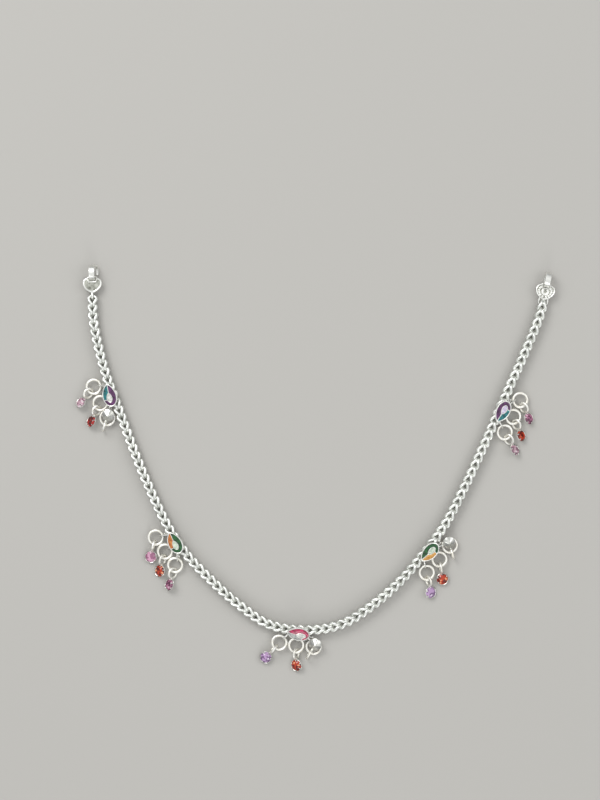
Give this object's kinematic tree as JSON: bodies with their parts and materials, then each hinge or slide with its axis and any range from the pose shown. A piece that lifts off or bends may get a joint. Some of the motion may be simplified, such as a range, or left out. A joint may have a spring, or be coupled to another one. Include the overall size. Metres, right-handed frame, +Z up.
{
  "type": "payal anklet",
  "caption": "Silver payal anklet laid open in a U: foxtail link chain, enamelled mango charms with cut-stone drops on jump rings, heart end caps, hook and closing ring.",
  "frame": {"origin": "middle of the footprint, on the surface that the anklet lies on", "axes": "+X from the hook end towards the ring end, +Y from the middle charm towards the open ends, +Z up from the surface"},
  "size_m": [0.1434, 0.1218, 0.0048],
  "materials": {
    "silver": "polished",
    "ring_silver": "polished",
    "enamelled_silver": "polished rim, glossy enamel cells",
    "set_stone": "cut and polished in a silver setting"
  },
  "bodies": {
    "root": {"chain_hook_side": "silver", "chain_ring_side": "silver", "charm_plate_1": "enamelled_silver", "jump_ring_1a": "ring_silver", "stone_drop_1a": "set_stone", "jump_ring_1b": "ring_silver", "stone_drop_1b": "set_stone", "jump_ring_1c": "ring_silver", "stone_drop_1c": "set_stone", "charm_plate_2": "enamelled_silver", "jump_ring_2a": "ring_silver", "stone_drop_2a": "set_stone", "jump_ring_2b": "ring_silver", "stone_drop_2b": "set_stone", "jump_ring_2c": "ring_silver", "stone_drop_2c": "set_stone", "charm_plate_3": "enamelled_silver", "jump_ring_3a": "ring_silver", "stone_drop_3a": "set_stone", "jump_ring_3b": "ring_silver", "stone_drop_3b": "set_stone", "jump_ring_3c": "ring_silver", "stone_drop_3c": "set_stone", "charm_plate_4": "enamelled_silver", "jump_ring_4a": "ring_silver", "stone_drop_4a": "set_stone", "jump_ring_4b": "ring_silver", "stone_drop_4b": "set_stone", "jump_ring_4c": "ring_silver", "stone_drop_4c": "set_stone", "charm_plate_5": "enamelled_silver", "jump_ring_5a": "ring_silver", "stone_drop_5a": "set_stone", "jump_ring_5b": "ring_silver", "stone_drop_5b": "set_stone", "jump_ring_5c": "ring_silver", "stone_drop_5c": "set_stone", "heart_cap_hook_end": "silver", "heart_cap_ring_end": "silver", "hook": "silver", "closing_ring": "silver"}
  },
  "joints": []
}
